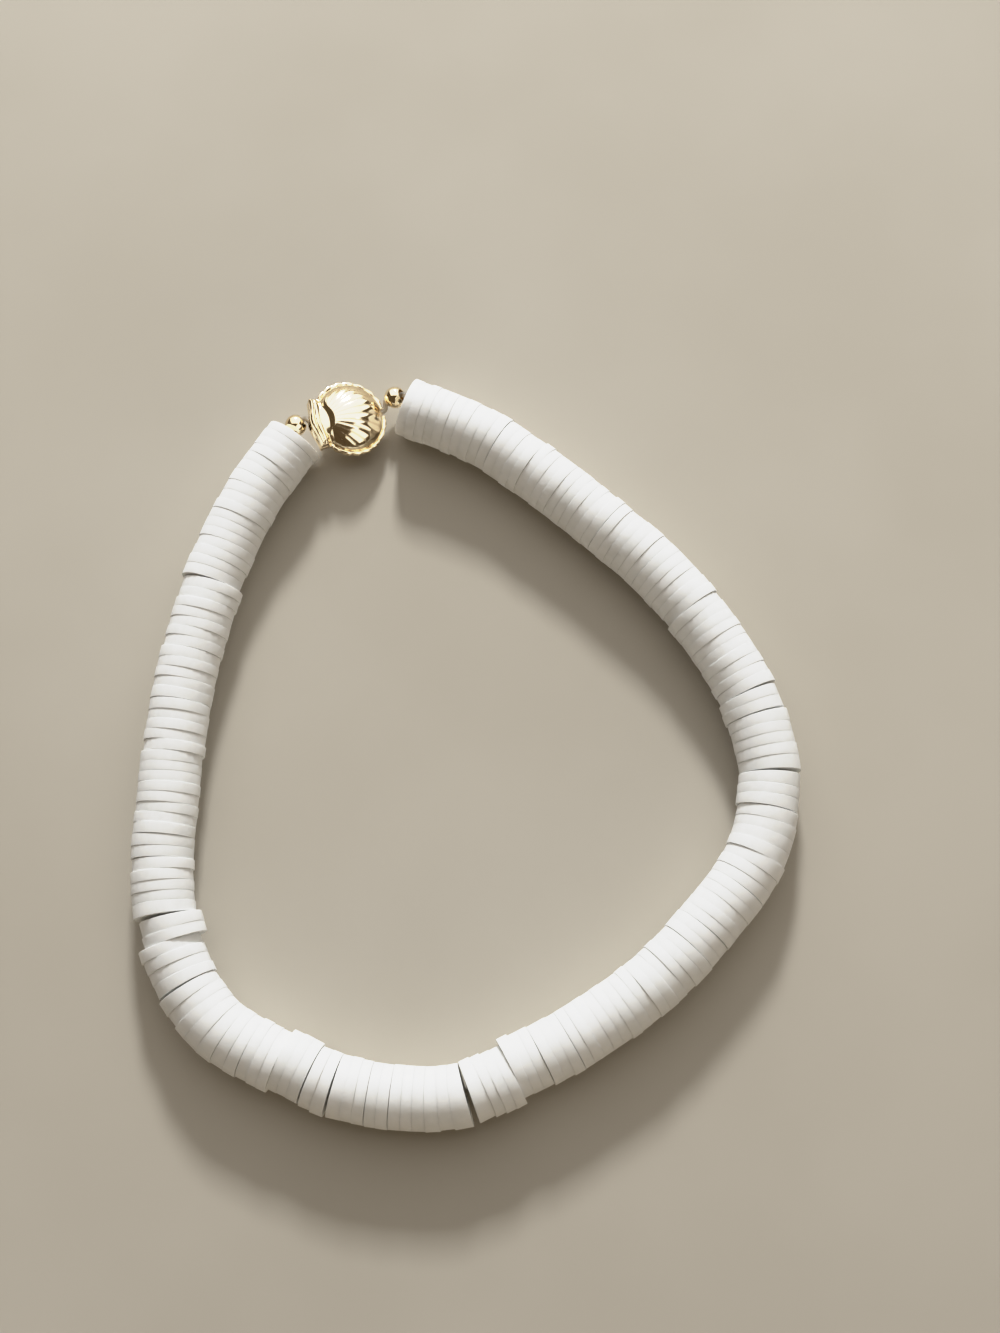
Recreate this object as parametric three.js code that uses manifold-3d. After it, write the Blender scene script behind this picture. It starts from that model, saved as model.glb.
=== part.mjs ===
// A stretch bracelet. Flat round clay discs (heishi) are threaded face to face on an elastic cord,
// and a puffed scallop shell bead sits between two small ball beads where the two ends of the
// string of discs meet. Millimetres, +Z up. The bracelet lies flat, its discs on edge on z = 0.

import * as THREE from 'three';
import { mergeVertices } from 'three/addons/utils/BufferGeometryUtils.js';
import Module from 'manifold-3d';

const wasm = await Module();
wasm.setup();

// ---------------------------------------------------------------- driving dimensions

const DISC = { count: 175, diameter: 6, thickness: 0.9, bore: 1.8, sides: 12, gap: 0.04 };

// How far one disc may differ from the next: millimetres, and degrees for lean and nod.
const SPREAD = { thickness: 0.06, sideways: 0.07, lift: 0.1, lean: 0.6, nod: 0.6 };

const PIECE_GAP = 0.3; // clear space between one stretch of discs and the next
const MOST_DISCS = 6; // discs in the longest stretch
const SPLIT = { opens: 4, gap: 0.1 }; // a parting this wide also ends a stretch

// aside: how far the cord lies off the middle of the holes on either side of each ball.
const CORD = { diameter: 0.5, sides: 6, steps: 2, aside: { disc: 0.54, shell: 0.2 } };
const BALL = { diameter: 2.2, bore: 1.4, sides: 12, arcs: 5 };

const SHELL = {
  length: 7.6, // hinge line to the middle of the rim
  radius: 3.8, // of the body along its middle
  width: 8.2, // of the body across its ribs
  dome: 1.85, // height of one half above its lip
  fullness: 0.55, // power of the dome's profile: the lower, the flatter its top and the steeper its edge
  lip: 0.24, // half the thickness of the lip
  lipWidth: 0.07, // width of the lip, as a share of the way from beak to rim
  beak: 0.45, // hinge line to the beak, where the ribs start
  fan: 86, // half the angle of the fan of ribs, degrees
  ribs: 17,
  rows: [0.28, 0.52, 0.76], // rows of points along a rib, as shares of the way from beak to rim
  ribHeight: 0.16,
  scallop: 0.12, // how far each rib stands out of the rim
  bore: 1.5,
  boreSides: 12,
};
const EAR = { reach: 2.65, thickness: 1.9, root: 1.5, slope: 0.35, bevel: 0.25 };

// Where the middle of each piece lies. heading: degrees that the shell is turned in plan.
// pitch: degrees that its rim is lower than its hinge.
const SHELL_PLACE = { x: -12.45, y: 33.3, z: 2.5, heading: 17, pitch: 15 };
const BALL_LEFT = { x: -17.9, y: 32.35, z: 3.1 };
const BALL_RIGHT = { x: -7.85, y: 35.7, z: 2.4 };

// The middle line of the string of discs, from the hinge side of the shell round to its rim side.
const ROUTE = [
  { x: -18, y: 30.85 },
  { x: -22.3, y: 24.2 },
  { x: -25.3, y: 16.9 },
  { x: -27.3, y: 9.4 },
  { x: -28.6, y: 1.7 },
  { x: -29.2, y: -6.0 },
  { x: -29.4, y: -13.7 },
  { x: -27.9, y: -21.2 },
  { x: -23.7, y: -27.6 },
  { x: -17.0, y: -31.3 },
  { x: -9.9, y: -33.8 },
  { x: -2.1, y: -34.3 },
  { x: 4.9, y: -31.6 },
  { x: 11.7, y: -27.9 },
  { x: 18.0, y: -23.3 },
  { x: 23.4, y: -17.6 },
  { x: 27.8, y: -11.3 },
  { x: 29.2, y: -3.7 },
  { x: 27.5, y: 3.8 },
  { x: 23.8, y: 10.5 },
  { x: 19.0, y: 16.6 },
  { x: 13.3, y: 21.8 },
  { x: 7.3, y: 26.8 },
  { x: 0.9, y: 31.2 },
  { x: -6.6, y: 34.4 },
];

// Where the discs part. after: the disc before the parting, counted from the hinge side of the
// shell. opens: degrees, to the outside of the loop. gap: extra space. step: how far the discs
// that follow stand outside the ones before. tips: degrees that it also opens to the top.
const PARTINGS = [
  { after: 6, opens: 2, gap: 0.05, step: -0.1 },
  { after: 15, opens: 1, gap: 0.04, step: 0.1 },
  { after: 17, opens: 5, gap: 0.08, step: -0.4 },
  { after: 24, opens: 1.5, gap: 0.05, step: 0.1 },
  { after: 29, opens: 3, gap: 0.05, step: 0 },
  { after: 34, opens: 3, gap: 0.02, step: 0.1 },
  { after: 42, opens: 2, gap: 0.06, step: 0 },
  { after: 44, opens: 2, gap: 0.08, step: -0.1 },
  { after: 49, opens: 7, gap: 0.04, step: -0.5, tips: 4 },
  { after: 51, opens: -2, gap: 0.04, step: 0.55 },
  { after: 55, opens: 4, gap: 0.04, step: 0.15 },
  { after: 62, opens: 1.5, gap: 0.02, step: 0 },
  { after: 65, opens: 0, gap: 0.03, step: -0.3 },
  { after: 68, opens: 4, gap: 0.06, step: 0.3 },
  { after: 70, opens: 6, gap: 0.08, step: 0 },
  { after: 73, opens: 2, gap: 0.07, step: 0 },
  { after: 75, opens: 1, gap: 0.05, step: 0 },
  { after: 81, opens: 8, gap: 0.04, step: 0, tips: 8 },
  { after: 85, opens: 0, gap: 0.02, step: -0.7 },
  { after: 88, opens: 1, gap: 0.05, step: 0 },
  { after: 91, opens: 1, gap: 0.03, step: 0 },
  { after: 105, opens: 1, gap: 0.05, step: 0 },
  { after: 107, opens: 1, gap: 0.1, step: 0 },
  { after: 112, opens: 1, gap: 0.05, step: 0 },
  { after: 119, opens: 2, gap: 0.07, step: -0.1 },
  { after: 122, opens: 6, gap: 0.04, step: 0.1 },
  { after: 127, opens: 6, gap: 0.03, step: -0.1 },
  { after: 129, opens: 4, gap: 0.04, step: 0.1 },
  { after: 139, opens: -3, gap: 0.08, step: 0.2 },
  { after: 145, opens: -1, gap: 0.06, step: 0 },
  { after: 151, opens: 0, gap: 0.12, step: 0 },
  { after: 161, opens: 0, gap: 0.04, step: 0 },
  { after: 163, opens: 0, gap: 0.05, step: 0 },
  { after: 165, opens: 0, gap: 0.12, step: 0.1 },
];
const PARTING_REACH = 3; // discs over which a parting's lean and step fade away

const ROUTE_STEPS = 2400; // in which the route's length is measured
const LAYOUT_ROUNDS = 4; // after which the discs' places no longer change

// ---------------------------------------------------------------- materials

const clay = new THREE.MeshStandardMaterial({ color: 0xe6e7e4, roughness: 0.75, metalness: 0 });
const gold = new THREE.MeshStandardMaterial({ color: 0xd9bd84, roughness: 0.18, metalness: 1 });
const elastic = new THREE.MeshStandardMaterial({ color: 0xdcd9cf, roughness: 0.4, metalness: 0 });

// ---------------------------------------------------------------- helpers

const UP = new THREE.Vector3(0, 0, 1);

// A fixed number from -1 to 1 for each disc and each kind of difference.
function differ(index, kind) {
  const wave = Math.sin(index * 12.9898 + kind * 78.233) * 43758.5453;
  return 2 * (wave - Math.floor(wave)) - 1;
}

// One ring of points round a centre, square to an axis. Its flats face up, down and sideways.
function ring(centre, axis, radius, sides) {
  const outward = new THREE.Vector3(axis.y, -axis.x, 0).normalize();
  const top = new THREE.Vector3().crossVectors(outward, axis);
  return Array.from({ length: sides }, (_, k) => {
    const angle = ((k + 0.5) / sides) * 2 * Math.PI;
    return centre.clone()
      .addScaledVector(outward, radius * Math.cos(angle))
      .addScaledVector(top, radius * Math.sin(angle));
  });
}

// A skin over a row of rings whose last ring joins the first again.
function closedLoft(rings) {
  const sides = rings[0].length;
  const faces = [];
  rings.forEach((_, i) => {
    const here = i * sides;
    const next = ((i + 1) % rings.length) * sides;
    for (let k = 0; k < sides; k += 1) {
      const l = (k + 1) % sides;
      faces.push(here + k, next + k, next + l, here + k, next + l, here + l);
    }
  });
  const geometry = new THREE.BufferGeometry().setFromPoints(rings.flat());
  geometry.setIndex(faces);
  geometry.computeVertexNormals();
  return geometry;
}

function toManifold(geometry) {
  const bare = geometry.clone();
  bare.deleteAttribute('normal');
  bare.deleteAttribute('uv');
  const merged = mergeVertices(bare, 1e-4);
  const mesh = new wasm.Mesh({
    numProp: 3,
    vertProperties: new Float32Array(merged.attributes.position.array),
    triVerts: new Uint32Array(merged.index.array),
  });
  return new wasm.Manifold(mesh);
}

function toGeometry(solid) {
  const mesh = solid.getMesh();
  const geometry = new THREE.BufferGeometry();
  geometry.setAttribute('position', new THREE.BufferAttribute(mesh.vertProperties, 3));
  geometry.setIndex(new THREE.BufferAttribute(mesh.triVerts, 1));
  geometry.computeVertexNormals();
  return geometry;
}

function named(name, geometry, material) {
  const mesh = new THREE.Mesh(geometry, material.clone());
  mesh.name = name;
  return mesh;
}

// ---------------------------------------------------------------- where each disc lies

// The lean and nod (degrees) and sideways step (mm) that the partings give to a disc.
function partingEffect(number) {
  const effect = { lean: 0, nod: 0, step: 0 };
  PARTINGS.forEach(({ after, opens, step, tips = 0 }) => {
    const side = number > after ? 1 : -1;
    const away = Math.abs(number - after - 0.5) - 0.5;
    const share = 0.5 * side * Math.exp(-away / PARTING_REACH);
    effect.lean += opens * share;
    effect.nod -= tips * share;
    effect.step += step * share;
  });
  return effect;
}

// What is the disc's own: its thickness, lean, nod, and how far it stands aside and up.
function ownShape(index) {
  const parting = partingEffect(index + 1);
  return {
    thickness: DISC.thickness + SPREAD.thickness * differ(index, 1),
    lean: THREE.MathUtils.degToRad(parting.lean + SPREAD.lean * differ(index, 2)),
    nod: THREE.MathUtils.degToRad(parting.nod + SPREAD.nod * differ(index, 3)),
    sideways: parting.step + SPREAD.sideways * differ(index, 4),
    lift: SPREAD.lift * Math.max(0, differ(index, 5)),
  };
}

function discAxis(tangent, shape) {
  const level = tangent.clone().applyAxisAngle(UP, shape.lean);
  const outward = new THREE.Vector3(level.y, -level.x, 0).normalize();
  return level.applyAxisAngle(outward, shape.nod);
}

// Flat-sided discs of the right width across their flats.
const DISC_REACH = DISC.diameter / 2 / Math.cos(Math.PI / DISC.sides);

// Neighbours touch at their rims, so each pair needs room for its thickness, its gap and the angle
// between its faces. What is left of the route's length is shared out evenly.
function layOutDiscs(route) {
  const length = route.getLength();
  const shapes = Array.from({ length: DISC.count }, (_, index) => ownShape(index));
  const parted = new Map(PARTINGS.map(({ after, gap }) => [after, gap]));
  let places = shapes.map((_, index) => ((index + 0.5) / DISC.count) * length);
  let axes = [];
  for (let round = 0; round < LAYOUT_ROUNDS; round += 1) {
    axes = shapes.map((shape, i) => discAxis(route.getTangentAt(places[i] / length), shape));
    const rooms = shapes.slice(1).map((shape, i) => {
      const thick = (shapes[i].thickness + shape.thickness) / 2;
      const wedge = DISC_REACH * axes[i].angleTo(axes[i + 1]);
      return thick + wedge + DISC.gap + (parted.get(i + 1) ?? 0);
    });
    const first = shapes[0].thickness / 2;
    const last = shapes[DISC.count - 1].thickness / 2;
    const needed = rooms.reduce((sum, room) => sum + room, first + last);
    const spare = (length - needed) / rooms.length;
    if (spare < 0) throw new Error(`the discs need ${needed.toFixed(2)} mm of ${length.toFixed(2)}`);
    places = rooms.reduce((list, room) => [...list, list[list.length - 1] + room + spare], [first]);
  }
  return shapes.map((shape, i) => {
    const centre = route.getPointAt(places[i] / length);
    const outward = new THREE.Vector3(axes[i].y, -axes[i].x, 0).normalize();
    centre.addScaledVector(outward, shape.sideways);
    const halfHeight = (DISC.diameter / 2) * Math.cos(shape.nod);
    const cornerDrop = (shape.thickness / 2) * Math.abs(Math.sin(shape.nod));
    centre.z = halfHeight + cornerDrop + shape.lift;
    return { centre, axis: axes[i], thickness: shape.thickness, place: places[i] };
  });
}

// ---------------------------------------------------------------- the string of discs

// Splits the discs at the wide partings, and then evenly, into short stretches.
function stretchSizes() {
  const wide = PARTINGS.filter(({ opens, gap }) => opens >= SPLIT.opens || gap >= SPLIT.gap);
  const ends = [...wide.map(({ after }) => after), DISC.count];
  const sizes = [];
  let start = 0;
  ends.forEach((end) => {
    const span = end - start;
    const pieces = Math.ceil(span / MOST_DISCS);
    for (let piece = 1; piece <= pieces; piece += 1) {
      const stop = Math.round((span * piece) / pieces);
      sizes.push(stop - Math.round((span * (piece - 1)) / pieces));
    }
    start = end;
  });
  return sizes;
}

// Two rings for each disc, and a bore from end to end. The end discs are faced back a little.
function stretchGeometry(discs) {
  const faced = (PIECE_GAP - DISC.gap) / 2;
  const last = discs.length - 1;
  const rings = discs.flatMap(({ centre, axis, thickness }, i) => {
    const from = -thickness / 2 + (i === 0 ? faced : 0);
    const to = thickness / 2 - (i === last ? faced : 0);
    return [from, to].map((along) => {
      return ring(centre.clone().addScaledVector(axis, along), axis, DISC_REACH, DISC.sides);
    });
  });
  const boreEnd = (disc, along) => {
    const centre = disc.centre.clone().addScaledVector(disc.axis, along);
    return ring(centre, disc.axis, DISC.bore / 2, DISC.sides);
  };
  rings.push(boreEnd(discs[last], discs[last].thickness / 2 - faced));
  rings.push(boreEnd(discs[0], faced - discs[0].thickness / 2));
  return closedLoft(rings);
}

// ---------------------------------------------------------------- the gold beads

const HEADING = THREE.MathUtils.degToRad(SHELL_PLACE.heading);
const PITCH = THREE.MathUtils.degToRad(SHELL_PLACE.pitch);
const SHELL_CENTRE = new THREE.Vector3(SHELL_PLACE.x, SHELL_PLACE.y, SHELL_PLACE.z);
const SHELL_TURN = new THREE.Euler(0, PITCH, HEADING, 'ZYX');
const SHELL_AXIS = new THREE.Vector3(1, 0, 0).applyEuler(SHELL_TURN);
const SHELL_SIDE = new THREE.Vector3(-Math.sin(HEADING), Math.cos(HEADING), 0);

// A point on the upper half of the shell. angle: from the middle rib. share: 0 beak to 1 rim.
// rib: 1 on the crest of a rib, -1 in the groove between two.
function shellPoint(angle, share, rib) {
  const beak = -SHELL.length / 2 + SHELL.beak;
  const middle = SHELL.length / 2 - SHELL.radius;
  const offset = middle - beak;
  const reach = offset * Math.cos(angle)
    + Math.sqrt(SHELL.radius ** 2 - (offset * Math.sin(angle)) ** 2);
  const rim = reach + (SHELL.scallop * (rib - 1)) / 2;
  const x = beak + rim * share * Math.cos(angle);
  const y = rim * share * Math.sin(angle);
  const out = Math.min(1, Math.hypot(x - middle, y) / SHELL.radius);
  const lift = share > 1 - SHELL.lipWidth ? 0 : SHELL.dome * (1 - out ** 2) ** SHELL.fullness;
  const wide = (y * SHELL.width) / (2 * SHELL.radius);
  return new THREE.Vector3(x, wide, SHELL.lip + lift + (SHELL.ribHeight / 2) * rib * share);
}

// The ribbed body: one column on each rib and each groove, rows from the beak to the rim, the same
// below as above, and a wall round the edge.
function shellBody() {
  const columns = 2 * SHELL.ribs + 1;
  const shares = [...SHELL.rows, 1 - SHELL.lipWidth, 1];
  const fan = THREE.MathUtils.degToRad(SHELL.fan);
  const points = [shellPoint(0, 0, 0)];
  for (let c = 0; c < columns; c += 1) {
    const angle = fan * ((2 * c) / (columns - 1) - 1);
    const rib = c % 2 === 0 ? -1 : 1;
    shares.forEach((share) => {
      const point = shellPoint(angle, share, rib);
      if (share === 1) point.z = SHELL.lip;
      points.push(point);
    });
  }
  const count = points.length;
  points.push(...points.map(({ x, y, z }) => new THREE.Vector3(x, y, -z)));
  const at = (column, row) => 1 + column * shares.length + row;
  const top = [];
  for (let c = 0; c + 1 < columns; c += 1) {
    top.push([0, at(c, 0), at(c + 1, 0)]);
    for (let r = 0; r + 1 < shares.length; r += 1) {
      top.push([at(c, r), at(c, r + 1), at(c + 1, r + 1)]);
      top.push([at(c, r), at(c + 1, r + 1), at(c + 1, r)]);
    }
  }
  const rimRow = shares.length - 1;
  const outline = [0];
  shares.forEach((_, r) => outline.push(at(0, r)));
  for (let c = 1; c < columns; c += 1) outline.push(at(c, rimRow));
  for (let r = rimRow - 1; r >= 0; r -= 1) outline.push(at(columns - 1, r));
  const faces = top.flatMap(([a, b, c]) => [a, b, c, a + count, c + count, b + count]);
  outline.forEach((a, i) => {
    const b = outline[(i + 1) % outline.length];
    faces.push(a, a + count, b + count, a, b + count, b);
  });
  const geometry = new THREE.BufferGeometry().setFromPoints(points);
  geometry.setIndex(faces);
  return geometry;
}

// The hinge: a straight plate across the beak whose two ends stand out as ears.
function earPlate() {
  const back = -SHELL.length / 2 + EAR.bevel;
  const tip = EAR.reach - EAR.bevel;
  const outline = new THREE.Shape([
    new THREE.Vector2(back, -tip),
    new THREE.Vector2(back + EAR.slope, -tip),
    new THREE.Vector2(back + EAR.root, -tip + EAR.slope),
    new THREE.Vector2(back + EAR.root, tip - EAR.slope),
    new THREE.Vector2(back + EAR.slope, tip),
    new THREE.Vector2(back, tip),
  ]);
  const geometry = new THREE.ExtrudeGeometry(outline, {
    depth: EAR.thickness - 2 * EAR.bevel,
    bevelThickness: EAR.bevel,
    bevelSize: EAR.bevel,
    bevelSegments: 1,
  });
  return geometry.translate(0, 0, EAR.bevel - EAR.thickness / 2);
}

function shellGeometry() {
  const radius = SHELL.bore / 2;
  const hole = new THREE.CylinderGeometry(radius, radius, 2 * SHELL.length, SHELL.boreSides)
    .rotateZ(Math.PI / 2);
  const solid = toManifold(shellBody()).add(toManifold(earPlate()));
  return toGeometry(solid.subtract(toManifold(hole)));
}

// A ball with its bore along +Z: the profile runs up the outside and down the bore.
function ballGeometry() {
  const radius = BALL.diameter / 2;
  const edge = Math.asin(BALL.bore / 2 / radius);
  const profile = Array.from({ length: BALL.arcs + 1 }, (_, i) => {
    const angle = Math.PI - edge - ((Math.PI - 2 * edge) * i) / BALL.arcs;
    return new THREE.Vector2(radius * Math.sin(angle), radius * Math.cos(angle));
  });
  profile.push(profile[0].clone());
  return new THREE.LatheGeometry(profile, BALL.sides).rotateX(Math.PI / 2);
}

// ---------------------------------------------------------------- the elastic cord

// The cord runs in the middle of the discs, leaves them near the outer side of their holes and
// goes straight through each ball. These are the points where it does so.
function cordEnds(discs) {
  const discEnd = ({ centre, axis, thickness }, end) => {
    const outward = new THREE.Vector3(axis.y, -axis.x, 0).normalize();
    return centre.clone()
      .addScaledVector(axis, (end * thickness) / 2)
      .addScaledVector(outward, CORD.aside.disc);
  };
  const shellEnd = (end) => SHELL_CENTRE.clone()
    .addScaledVector(SHELL_AXIS, (end * SHELL.length) / 2)
    .addScaledVector(SHELL_SIDE, CORD.aside.shell);
  return {
    right: { disc: discEnd(discs[discs.length - 1], 1), shell: shellEnd(1) },
    left: { disc: discEnd(discs[0], -1), shell: shellEnd(-1) },
  };
}

// A ball's hole points halfway between the ways that the cord takes before and after the ball.
function ballPlace({ x, y, z }, { disc, shell }) {
  const centre = new THREE.Vector3(x, y, z);
  const before = centre.clone().sub(disc).normalize();
  const after = shell.clone().sub(centre).normalize();
  return { centre, axis: before.add(after).normalize() };
}

function cordCurve(middles, ends, balls) {
  const through = ({ centre, axis }, side) => [-side, 0, side].map((step) => {
    return centre.clone().addScaledVector(axis, (step * BALL.diameter) / 2);
  });
  const points = [
    ...middles,
    ends.right.disc,
    ...through(balls.right, 1),
    ends.right.shell,
    ends.left.shell,
    ...through(balls.left, -1),
    ends.left.disc,
  ];
  return new THREE.CatmullRomCurve3(points, true, 'centripetal');
}

// One ring at each point inside the discs, and a few for each point after them.
function cordGeometry(curve, inDiscs) {
  const count = curve.points.length;
  const stops = curve.points.flatMap((_, i) => {
    const steps = i < inDiscs ? 1 : CORD.steps;
    return Array.from({ length: steps }, (_unused, k) => (i + k / steps) / count);
  });
  return closedLoft(stops.map((stop) => {
    return ring(curve.getPoint(stop), curve.getTangent(stop), CORD.diameter / 2, CORD.sides);
  }));
}

// ---------------------------------------------------------------- assembly

const bracelet = new THREE.Group();
const route = new THREE.CatmullRomCurve3(
  ROUTE.map(({ x, y }) => new THREE.Vector3(x, y, 0)),
  false,
  'catmullrom',
  0.5,
);
route.arcLengthDivisions = ROUTE_STEPS;
const discs = layOutDiscs(route);

const middles = [];
let used = 0;
stretchSizes().forEach((size, i) => {
  const members = discs.slice(used, used + size);
  used += size;
  const name = `heishi_stretch_${String(i + 1).padStart(2, '0')}`;
  bracelet.add(named(name, stretchGeometry(members), clay));
  if (used < DISC.count) {
    const between = (discs[used - 1].place + discs[used].place) / 2;
    const middle = route.getPointAt(between / route.getLength());
    middle.z = DISC.diameter / 2;
    middles.push(middle);
  }
});

const shell = named('shell_bead', shellGeometry(), gold);
shell.position.copy(SHELL_CENTRE);
shell.rotation.copy(SHELL_TURN);
bracelet.add(shell);

const ends = cordEnds(discs);
const balls = {
  left: ballPlace(BALL_LEFT, ends.left),
  right: ballPlace(BALL_RIGHT, ends.right),
};
Object.entries(balls).forEach(([side, { centre, axis }]) => {
  const ball = named(`ball_bead_${side}`, ballGeometry(), gold);
  ball.position.copy(centre);
  ball.quaternion.setFromUnitVectors(UP, axis);
  bracelet.add(ball);
});

const cord = cordCurve(middles, ends, balls);
bracelet.add(named('elastic_cord', cordGeometry(cord, middles.length), elastic));

// The origin is the middle of the bracelet's box, on the surface that it lies on.
const box = new THREE.Box3().setFromObject(bracelet, true);
const middle = box.getCenter(new THREE.Vector3());
bracelet.position.set(-middle.x, -middle.y, -box.min.z);

export default bracelet;
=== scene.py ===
# %% [markdown]
# # A heishi bead bracelet
#
# The bracelet is a closed string of 175 flat clay discs, one gold scallop shell bead and a small
# gold ball on either side of it, all on one elastic thread. The solid model settles where every
# bead lies. This script gives each bead its own skin and finish, in the same frame, in metres.
#
# Every surface here is worked out with numpy, as whole arrays of points, and then put into a mesh.
# The other way would be to model one disc by hand and copy it 175 times. Arrays are chosen because
# no two clay discs are quite alike, and a formula can give each its own thickness, edge and lean.

# %% Load the frame
import math

import bmesh
import bpy
import numpy as np
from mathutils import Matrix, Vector


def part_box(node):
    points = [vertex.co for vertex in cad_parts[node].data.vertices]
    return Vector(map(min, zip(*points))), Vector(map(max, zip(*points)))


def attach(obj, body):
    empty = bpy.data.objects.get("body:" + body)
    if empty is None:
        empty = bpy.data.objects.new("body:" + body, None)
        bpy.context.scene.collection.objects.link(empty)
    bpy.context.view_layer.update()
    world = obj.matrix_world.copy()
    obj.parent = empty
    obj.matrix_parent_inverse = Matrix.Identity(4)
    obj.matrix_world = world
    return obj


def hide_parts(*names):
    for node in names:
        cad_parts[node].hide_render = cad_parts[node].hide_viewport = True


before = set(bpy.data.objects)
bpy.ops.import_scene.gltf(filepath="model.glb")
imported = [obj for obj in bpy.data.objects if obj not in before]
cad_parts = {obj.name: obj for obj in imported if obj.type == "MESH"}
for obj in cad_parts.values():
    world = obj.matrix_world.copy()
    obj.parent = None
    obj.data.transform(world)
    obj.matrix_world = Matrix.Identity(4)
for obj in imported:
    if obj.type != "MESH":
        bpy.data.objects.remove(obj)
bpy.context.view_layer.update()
MM = 0.001

# %% [markdown]
# ## Sizes
#
# These are the sizes of the real beads, and the same ones that the solid model was built from:
# a disc 6 mm across and 0.9 mm thick with a 1.8 mm hole, a 2.2 mm ball, a shell of 7.6 by 8.2 mm.
# Only the thread holes of the balls and the shell are narrower here: the solid model keeps them
# wide, so that its thread of straight pieces clears them. Lengths are in millimetres until a
# mesh is made.

# %% Sizes of the beads
DISC = {"count": 175, "diameter": 6.0, "thickness": 0.9, "bore": 1.8, "gap": 0.04}
SPREAD = {"thickness": 0.06, "sideways": 0.07, "lift": 0.1, "lean": 0.6, "nod": 0.6}
CORD = {"diameter": 0.5, "aside_disc": 0.54, "aside_shell": 0.2}
BALL = {"diameter": 2.2, "bore": 1.2}
SHELL = {
    "length": 7.6, "radius": 3.8, "width": 8.2, "dome": 1.85, "lip": 0.24, "beak": 0.45,
    "fan": 86.0, "ribs": 17, "scallop": 0.12, "bore": 1.0,
}
# heading: degrees that the shell is turned in plan; pitch: degrees that its rim is lower than
# its hinge.
SHELL_PLACE = {"x": -12.45, "y": 33.3, "z": 2.5, "heading": 17.0, "pitch": 15.0}
BALL_LEFT = np.array([-17.9, 32.35, 3.1])
BALL_RIGHT = np.array([-7.85, 35.7, 2.4])

# The middle line of the string of discs, from the hinge side of the shell round to its rim side.
ROUTE = np.array([
    (-18.0, 30.85), (-22.3, 24.2), (-25.3, 16.9), (-27.3, 9.4), (-28.6, 1.7), (-29.2, -6.0),
    (-29.4, -13.7), (-27.9, -21.2), (-23.7, -27.6), (-17.0, -31.3), (-9.9, -33.8),
    (-2.1, -34.3), (4.9, -31.6), (11.7, -27.9), (18.0, -23.3), (23.4, -17.6), (27.8, -11.3),
    (29.2, -3.7), (27.5, 3.8), (23.8, 10.5), (19.0, 16.6), (13.3, 21.8), (7.3, 26.8),
    (0.9, 31.2), (-6.6, 34.4),
])

# Where the discs part. Columns: the disc before the parting; how many degrees it opens to the
# outside of the loop; extra space; how far the discs that follow stand outside the ones before;
# how many degrees it also opens to the top.
PARTINGS = np.array([
    (6, 2, 0.05, -0.1, 0), (15, 1, 0.04, 0.1, 0), (17, 5, 0.08, -0.4, 0),
    (24, 1.5, 0.05, 0.1, 0), (29, 3, 0.05, 0, 0), (34, 3, 0.02, 0.1, 0), (42, 2, 0.06, 0, 0),
    (44, 2, 0.08, -0.1, 0), (49, 7, 0.04, -0.5, 4), (51, -2, 0.04, 0.55, 0),
    (55, 4, 0.04, 0.15, 0), (62, 1.5, 0.02, 0, 0), (65, 0, 0.03, -0.3, 0), (68, 4, 0.06, 0.3, 0),
    (70, 6, 0.08, 0, 0), (73, 2, 0.07, 0, 0), (75, 1, 0.05, 0, 0), (81, 8, 0.04, 0, 8),
    (85, 0, 0.02, -0.7, 0), (88, 1, 0.05, 0, 0), (91, 1, 0.03, 0, 0), (105, 1, 0.05, 0, 0),
    (107, 1, 0.1, 0, 0), (112, 1, 0.05, 0, 0), (119, 2, 0.07, -0.1, 0), (122, 6, 0.04, 0.1, 0),
    (127, 6, 0.03, -0.1, 0), (129, 4, 0.04, 0.1, 0), (139, -3, 0.08, 0.2, 0),
    (145, -1, 0.06, 0, 0), (151, 0, 0.12, 0, 0), (161, 0, 0.04, 0, 0), (163, 0, 0.05, 0, 0),
    (165, 0, 0.12, 0.1, 0),
])
AFTER, OPENS, EXTRA, STEP, TIPS = PARTINGS.T
AFTER = AFTER.astype(int)
print(len(ROUTE), "stations on the string and", len(PARTINGS), "partings")

# %% [markdown]
# ## The way the thread takes
#
# A slack string of beads lies in long uneven bends. It could be a Blender curve, but the discs
# need the curve's length and direction at 175 places, so the curve is a formula here: a
# Catmull-Rom spline, which passes through every station and needs no handles.

# %% The string's middle line
ROUTE_STEPS = 2400


def cubic(here, there, leave, arrive, w):
    """From here (w = 0) to there (w = 1), setting out with slope leave and coming in with slope
    arrive: here + leave * w + bend * w^2 + twist * w^3."""
    bend = 3 * (there - here) - 2 * leave - arrive
    twist = 2 * (here - there) + leave + arrive
    return here + leave * w + bend * w**2 + twist * w**3


def route_at(t):
    """Uniform Catmull-Rom: a cubic from one station to the next, whose slope at each station is
    half the way from the station before it to the one after it."""
    stations = np.vstack([2 * ROUTE[0] - ROUTE[1], ROUTE, 2 * ROUTE[-1] - ROUTE[-2]])
    spans = len(ROUTE) - 1
    place = np.clip(t, 0, 1) * spans
    i = np.minimum(place.astype(int), spans - 1)
    w = (place - i)[:, None]
    before, here, there, beyond = (stations[i + k] for k in range(4))
    return cubic(here, there, (there - before) / 2, (beyond - here) / 2, w)


def rows_normalized(vectors):
    """Each row divided by its own length."""
    return vectors / np.linalg.norm(vectors, axis=-1, keepdims=True)


ROUTE_T = np.linspace(0, 1, ROUTE_STEPS + 1)
ROUTE_LENGTHS = np.append(0, np.cumsum(np.linalg.norm(np.diff(route_at(ROUTE_T), axis=0), axis=1)))
STRING_LENGTH = ROUTE_LENGTHS[-1]


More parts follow.
